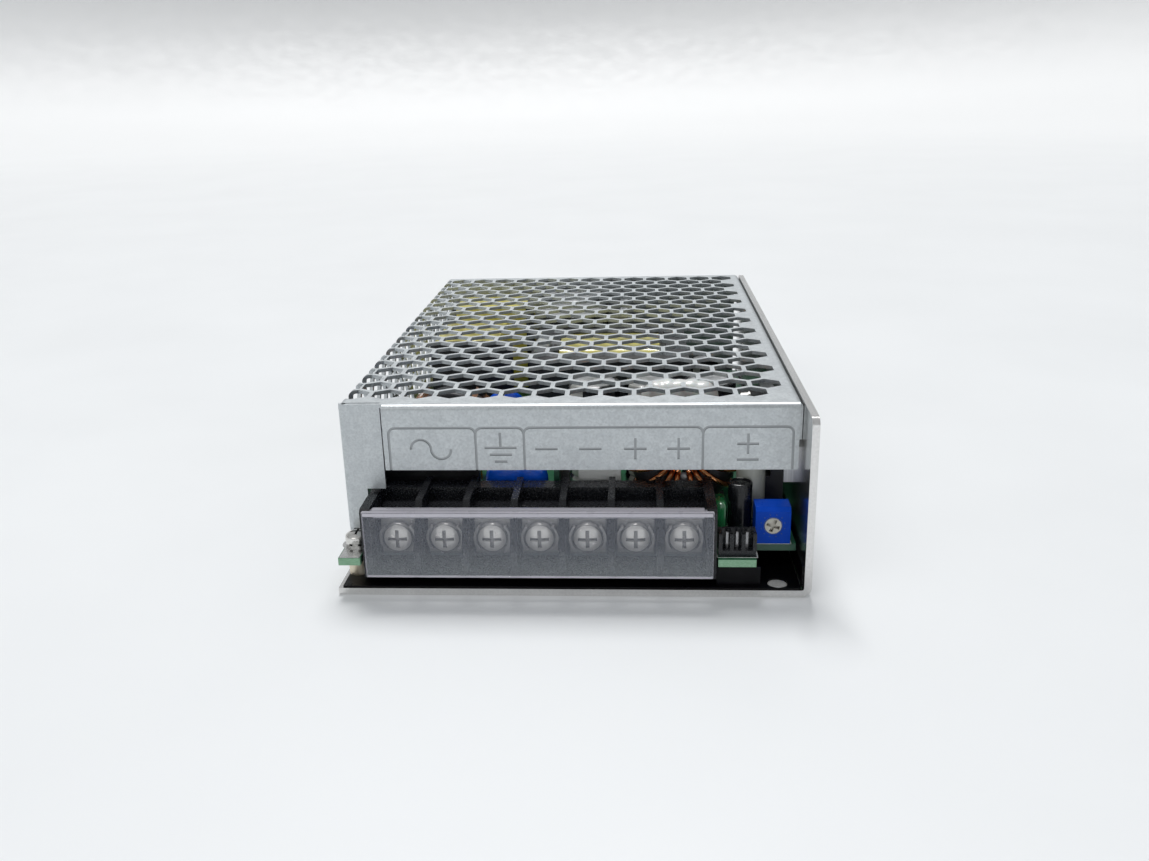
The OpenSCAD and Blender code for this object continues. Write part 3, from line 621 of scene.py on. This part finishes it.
def make_discs(name, node, finish):
    """Dipped discs standing on two legs, the coating drawn down onto each leg."""
    bm = bmesh.new()
    for low, high in solids(node):
        middle = (low + high) / 2
        r, half = (high.x - low.x) / 2, (high.y - low.y) / 2
        centre = Vector((middle.x, middle.y, high.z - r))
        turns = [math.radians(90) * i / 10 for i in range(-10, 11)]
        lens = [(r * max(0.0, math.cos(a)) ** 0.55, half * math.sin(a)) for a in turns]
        add_lathe(bm, lens, centre, axis="Y", segments=44)
        for x in (-r / 2, r / 2):
            neck = centre.z - r * 0.72
            leg = [(0, low.z), (0.4, low.z), (0.42, neck - 2.2)]
            leg += [(0.8, neck - 1.2), (1.4, neck), (0, neck + 1)]
            add_lathe(bm, leg, (centre.x + x, centre.y, 0), segments=14, indices=[1, 1, 0, 0, 0])
    add_piece(name, bm, [finish, solder_finish()], replaces=[node])


def make_wrap(name, node, axis, outline, layers):
    """A taped winding: the wrap bulges and wrinkles a little, and its layers step in at both ends."""
    low, high = (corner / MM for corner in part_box(node))
    middle, half = (low + high) / 2, (high - low) / 2
    along = "XYZ".index(axis)
    across = [i for i in range(3) if i != along]
    sections = [(-1, 0.985), (-0.995, 0.99)]
    for i in range(layers + 1):
        t = -0.96 + 1.92 * i / layers
        sections.append((t, 0.985 + 0.015 * math.cos(t * math.pi / 2)))
    sections += [(0.995, 0.99), (1, 0.985)]
    bm = bmesh.new()
    rings = []
    count = 88
    for t, size in sections:
        ring = []
        for i in range(count):
            a, b = outline(2 * math.pi * i / count)
            place = Vector((0, 0, 0))
            place[along] = middle[along] + half[along] * t
            wrinkle = 0.12 * noise.noise(Vector((a * 2.5, b * 2.5, t * 1.3)) * 2.0)
            place[across[0]] = middle[across[0]] + half[across[0]] * a * size - a * abs(wrinkle)
            place[across[1]] = middle[across[1]] + half[across[1]] * b * size - b * abs(wrinkle)
            ring.append(bm.verts.new(place * MM))
        rings.append(ring)
    for below, above in zip(rings, rings[1:]):
        for i in range(count):
            bm.faces.new((below[i], below[(i + 1) % count], above[(i + 1) % count], above[i]))
    bm.faces.new(rings[0])
    bm.faces.new(reversed(rings[-1]))
    add_piece(name, bm, [tape_finish()], replaces=[node])


def round_square(angle):
    """A square with well-rounded corners, as a superellipse from -1 to 1."""
    c, s = math.cos(angle), math.sin(angle)
    return math.copysign(abs(c) ** 0.5, c), math.copysign(abs(s) ** 0.5, s)


def plain_circle(angle):
    return math.cos(angle), math.sin(angle)


def make_clear_cover():
    """The hinged cover: clear plate, and the pale return, hinge rod and edges, their paleness partly
    painted light for the light they catch.
    """
    low, high = (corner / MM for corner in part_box("terminal_cover"))
    plate_t, return_z = 1.0, 1.1
    end_gap = 1.8
    hinge = Vector((low.x, low.y + 2.7, high.z - 1.2))
    bm = bmesh.new()
    add_box(bm, low, (high.x, low.y + plate_t, high.z), bevel=0.22)
    for face in bm.faces:
        face.normal_update()
        face.material_index = 0 if abs(face.normal.y) > 0.9 else 1
    # painted light: thin pale strips along the top and bottom edges, as bright lines of light
    for z0, z1 in ((high.z - 0.95, high.z - 0.2), (low.z + 0.2, low.z + 0.5)):
        add_box(bm, (low.x + 0.25, low.y - 0.03, z0), (high.x - 0.25, low.y + 0.3, z1), bevel=0.02, index=1)
    back_low = (low.x + end_gap, low.y + plate_t - 0.05, high.z - return_z)
    add_box(bm, back_low, (high.x - end_gap, hinge.y, high.z), bevel=0.1, index=1)
    rod_length = high.x - low.x - 2 * end_gap
    rod = [(0, 0), (0.95, 0), (1.1, 0.15), (1.1, rod_length - 0.15), (0.95, rod_length), (0, rod_length)]
    add_lathe(bm, rod, (low.x + end_gap, hinge.y, hinge.z), axis="X", segments=32, indices=[1] * 5)
    for x, side in ((low.x + end_gap, -1), (high.x - end_gap, 1)):
        pin = [(0, -0.2 * side), (0.7, -0.2 * side), (0.7, 1.4 * side), (0.5, 1.6 * side), (0, 1.6 * side)]
        add_lathe(bm, pin, (x, hinge.y, hinge.z), axis="X", segments=24, indices=[1] * 4)
    finishes = [clear_finish(), frosted_painted_light_finish()]
    add_piece("clear_cover", bm, finishes, "terminal_cover", ["terminal_cover"])


def make_fuse_card():
    """Black insulating card standing between the terminal block and the fuse."""
    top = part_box("main_board")[1].z / MM
    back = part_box("terminal_block")[1].y / MM
    left, right, high = -44.5, -20.8, 15.6
    bm = bmesh.new()
    add_box(bm, (left, back + 0.25, top), (right, back + 0.7, top + high), bevel=0.1)
    add_box(bm, (right - 0.5, back + 0.6, top), (right, back + 2.0, top + high), bevel=0.1)
    add_piece("fuse_card", bm, [film_finish()])


def make_choke_band():
    """Yellow tape round the boost choke's core, its end lapped over the top."""
    low, high = (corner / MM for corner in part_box("boost_choke_core"))
    x0, x1 = low.x + 1.2, high.x - 1.2
    bm = bmesh.new()
    add_box(bm, (x0, low.y - 0.3, high.z - 0.02), (x1, high.y + 0.3, high.z + 0.3), bevel=0.12)
    add_box(bm, (x0 + 0.4, low.y + 3, high.z + 0.25), (x1 - 0.3, high.y + 0.34, high.z + 0.42), bevel=0.06)
    for y in (low.y - 0.3, high.y - 0.02):
        add_box(bm, (x0, y, low.z + 0.4), (x1, y + 0.32, high.z + 0.2), bevel=0.12)
    add_piece("boost_choke_band", bm, [tape_finish()])


def make_beads():
    """Soft sealant: lumpy drops melted together."""
    for number, (low, high) in enumerate(solids("silicone_beads"), 1):
        bm = bmesh.new()
        size = high - low
        longest = 0 if size.x > size.y else 1
        for i in range(5):
            t = (i + 0.5) / 5
            place = (low + high) / 2
            place[longest] = low[longest] + size[longest] * (0.14 + 0.72 * t)
            wobble = noise.noise(Vector((i * 1.7, number * 3.1, 0.5)))
            place[1 - longest] += 0.12 * wobble * size[1 - longest]
            r = min(size.z, size[1 - longest] / 2) * (0.86 + 0.1 * wobble)
            place.z = low.z + r * 0.45
            drop = Matrix.Translation(place * MM)
            made = bmesh.ops.create_icosphere(bm, subdivisions=3, radius=r * MM, matrix=drop)
            for vert in made["verts"]:
                vert.co.z = max(vert.co.z, low.z * MM)
        piece = add_piece(f"sealant_bead_{number}", bm, [silicone_finish()])
        remesh = piece.modifiers.new("melt", "REMESH")
        remesh.mode = "VOXEL"
        remesh.voxel_size = 0.35 * MM
        remesh.use_smooth_shade = True
        smooth = piece.modifiers.new("soften", "SMOOTH")
        smooth.factor = 0.6
        smooth.iterations = 6
        if number == 1:
            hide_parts("silicone_beads")


def make_film_parts():
    """Dipped and boxed film capacitors, with rounded corners."""
    bm = bmesh.new()
    for low, high in solids("film_capacitor"):
        add_box(bm, low + Vector((0, 0, 0.8)), high, bevel=0.9)
        for y in (low.y + 1.2, high.y - 1.2):
            leg = [(0, low.z), (0.3, low.z), (0.3, low.z + 0.6), (0.7, low.z + 1.2), (0, low.z + 1.4)]
            add_lathe(bm, leg, ((low.x + high.x) / 2, y, 0), segments=12, indices=[1, 1, 0, 0])
    finishes = [epoxy_finish("green_epoxy", (0.02, 0.22, 0.07)), solder_finish()]
    add_piece("film_capacitor_body", bm, finishes, replaces=["film_capacitor"])

    bm = bmesh.new()
    for low, high in solids("box_capacitors"):
        add_box(bm, low, high, bevel=0.5)
        panel_low = (low.x + 1.5, low.y + 1.5, high.z - 0.2)
        add_box(bm, panel_low, (high.x - 1.5, high.y - 1.5, high.z + 0.12), bevel=0.1)
    add_piece("box_capacitor_shells", bm, [box_yellow_finish()], "case", ["box_capacitors"])


def make_trimmer_detail():
    """Index dots and a thin ring moulded round the rotor."""
    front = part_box("trimmer_body")[0].y / MM
    rotor_low, rotor_high = (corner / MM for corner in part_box("trimmer_rotor"))
    middle = (rotor_low + rotor_high) / 2
    dot_circle = 2.5
    bm = bmesh.new()
    for i in range(12):
        a = math.radians(30 * i + 15)
        at = (middle.x + dot_circle * math.sin(a), front, middle.z + dot_circle * math.cos(a))
        add_lathe(bm, [(0.16, 0.0), (0.13, -0.07), (0.0, -0.09)], at, axis="Y", segments=10)
    ring = [(2.0, 0.0), (1.98, -0.1), (1.82, -0.1), (1.8, 0.0)]
    add_lathe(bm, ring, (middle.x, front, middle.z), axis="Y", segments=40)
    finish = moulded_finish("trimmer_blue_marks", (0.01, 0.07, 0.36), 0.3)
    add_piece("trimmer_marks", bm, [finish])


def make_small_parts():
    """Chip resistors and capacitors on the open parts of the board, each with two tinned ends."""
    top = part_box("main_board")[1].z / MM
    rows = [
        (38.6, -61.0, 90), (41.0, -61.2, 90), (44.6, -61.4, 90), (31.2, -66.0, 0), (35.8, -65.4, 0),
        (38.9, -48.0, 0), (38.9, -45.0, 0), (36.0, -40.6, 90), (33.0, -40.6, 90), (12.0, -41.0, 0),
        (-10.0, -42.0, 90), (-14.0, -42.0, 90), (-18.0, -43.0, 0), (-24.0, -43.0, 0), (22.0, -20.0, 0),
        (34.0, 2.0, 0), (34.0, 6.0, 0), (34.0, 10.0, 90), (31.0, 14.0, 90), (36.0, 20.0, 0),
        (24.0, 48.0, 0), (28.0, 48.0, 0), (32.0, 50.0, 90), (18.0, 66.0, 0), (-18.0, 24.0, 90),
    ]
    half_long, half_wide, tall, end_at = 1.0, 0.6, 0.55, 0.85
    bm = bmesh.new()
    for x, y, angle in rows:
        turn = Matrix.Rotation(math.radians(angle), 4, "Z")
        low = (x - half_long, y - half_wide, top)
        add_box(bm, low, (x + half_long, y + half_wide, top + tall), bevel=0.05, turn=turn)
        for side in (-1, 1):
            offset = turn @ Vector((side * end_at, 0, 0))
            end = Vector((x + offset.x, y + offset.y, top + 0.29))
            corners = end - Vector((0.25, 0.64, 0.29)), end + Vector((0.25, 0.64, 0.31))
            add_box(bm, *corners, bevel=0.08, index=1, turn=turn)
    finishes = [moulded_finish("chip_body", (0.05, 0.05, 0.055)), solder_finish()]
    add_piece("chip_parts", bm, finishes)


def make_joints():
    """Solder cones under the header's pins, and tinned lands round the screws and on a tongue."""
    board_low, board_high = (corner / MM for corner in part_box("main_board"))
    top, under = board_high.z, board_low.z
    land_r = 3.3
    bm = bmesh.new()
    for low, high in solids("board_screws"):
        middle = (low + high) / 2
        land = [(land_r, top), (land_r, top + 0.05), (land_r - 1.3, top + 0.05)]
        add_lathe(bm, land, (middle.x, middle.y, 0))
    land_low = (board_low.x + 0.15, board_low.y + 0.15, top)
    add_box(bm, land_low, (board_low.x + 4.4, board_low.y + 9, top + 0.04))
    for low, high in solids("header_pins"):
        middle = (low + high) / 2
        cone = [(1.0, under), (0.55, under - 0.35), (0.3, under - 1.0), (0.0, under - 1.1)]
        add_lathe(bm, cone, (middle.x, middle.y, 0), segments=16)
    add_piece("solder_lands", bm, [solder_finish()])


def make_print():
    """Plain white outlines printed on the board round the front parts."""
    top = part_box("main_board")[1].z / MM
    gaps = {"header_housing": 0.35, "trimmer_body": 0.3, "sense_capacitor": 0.5, "fuse_tube": 1.2}
    w = 0.2
    bm = bmesh.new()
    for node, gap in gaps.items():
        low, high = (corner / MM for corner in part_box(node))
        x0, x1, y0, y1 = low.x - gap, high.x + gap, low.y - gap, high.y + gap
        lines = ((x0, y0, x1, y0 + w), (x0, y1 - w, x1, y1), (x0, y0, x0 + w, y1), (x1 - w, y0, x1, y1))
        for a, b, c, d in lines:
            add_box(bm, (a, b, top), (c, d, top + 0.03))
    add_piece("board_print", bm, [print_finish()])


# ---- CAD nodes ----

def paint_nodes():
    """Gives each CAD node its finish; nodes that share a slot share the finish."""
    brown = (0.03, 0.015, 0.01)
    finishes = {
        "aluminium_plate": aluminium_finish(),
        "zinc_sheet": zinc_finish(),
        "black_film": film_finish(),
        "zinc_screws": plated_finish("zinc_plating", (0.74, 0.73, 0.70), (0.50, 0.49, 0.46)),
        "cream_bush": bush_finish(),
        "circuit_board": board_finish(),
        "block_plastic": block_finish(),
        "contact_plate": plated_finish("tinned_brass", (0.36, 0.36, 0.37), (0.26, 0.26, 0.27), 0.6),
        "nickel_screws": terminal_screw_finish(),
        "blue_plastic": moulded_finish("trimmer_blue", (0.0015, 0.06, 0.50), 0.3, worn=0.08, shine=0.1),
        "cream_plastic": moulded_finish("cream_moulding", (0.62, 0.60, 0.53), 0.4, 0.2, crevice_shade=brown),
        "package_black": moulded_finish("package_epoxy", (0.014, 0.014, 0.015), 0.42),
        "ceramic_white": ceramic_finish(),
        "ferrite": ferrite_finish(),
        "copper_wire": copper_finish(),
        "bobbin_black": moulded_finish("bobbin_phenolic", (0.016, 0.016, 0.016), 0.45),
        "sink_aluminium": extruded_finish(),
    }
    for part in frame["record"]["subparts"]:
        if part["material_slot"] in finishes:
            mesh = frame["nodes"][part["node"]].data
            mesh.materials.clear()
            mesh.materials.append(finishes[part["material_slot"]].material)


def build():
    make_camera()
    make_world()
    make_floor()
    make_sun("softbox", (0.06, -0.55, -1.0), 1.85, 18)
    make_light("key", (-0.5, -0.6, 0.9), (0, 0, 0), 0.5, 1.1, (1.0, 0.985, 0.96))
    paint_nodes()
    sleeve = [sleeve_finish(), can_top_finish(), stripe_finish(), can_top_finish()]
    make_cans("bulk_capacitor_cans", "bulk_capacitors", sleeve, stripe_at=0.1)
    grey_too = sleeve + [grey_sleeve_finish()]
    make_cans("output_capacitor_cans", "output_capacitors", grey_too, pale_below=4.0)
    make_cans("aux_capacitor_cans", "aux_capacitors", sleeve)
    all_black = [sleeve[0], sleeve[0], sleeve[2], sleeve[0]]
    make_cans("sense_capacitor_can", "sense_capacitor", all_black, stripe_at=0.2)
    blue = epoxy_finish("blue_epoxy", (0.003, 0.11, 0.75))
    dark = epoxy_finish("dark_epoxy_disc", (0.02, 0.045, 0.04))
    make_discs("varistor_disc", "varistor", blue)
    make_discs("disc_capacitor_bodies", "disc_capacitors", blue)
    make_discs("thermistor_disc", "inrush_thermistor", dark)
    make_wrap("transformer_tape", "transformer_winding", "X", round_square, 14)
    make_wrap("boost_choke_tape", "boost_choke_winding", "Z", plain_circle, 10)
    make_clear_cover()
    make_fuse_card()
    make_choke_band()
    make_beads()
    make_film_parts()
    make_trimmer_detail()
    make_small_parts()
    make_joints()
    make_print()
    bpy.context.scene.view_settings.view_transform = "Standard"


build()
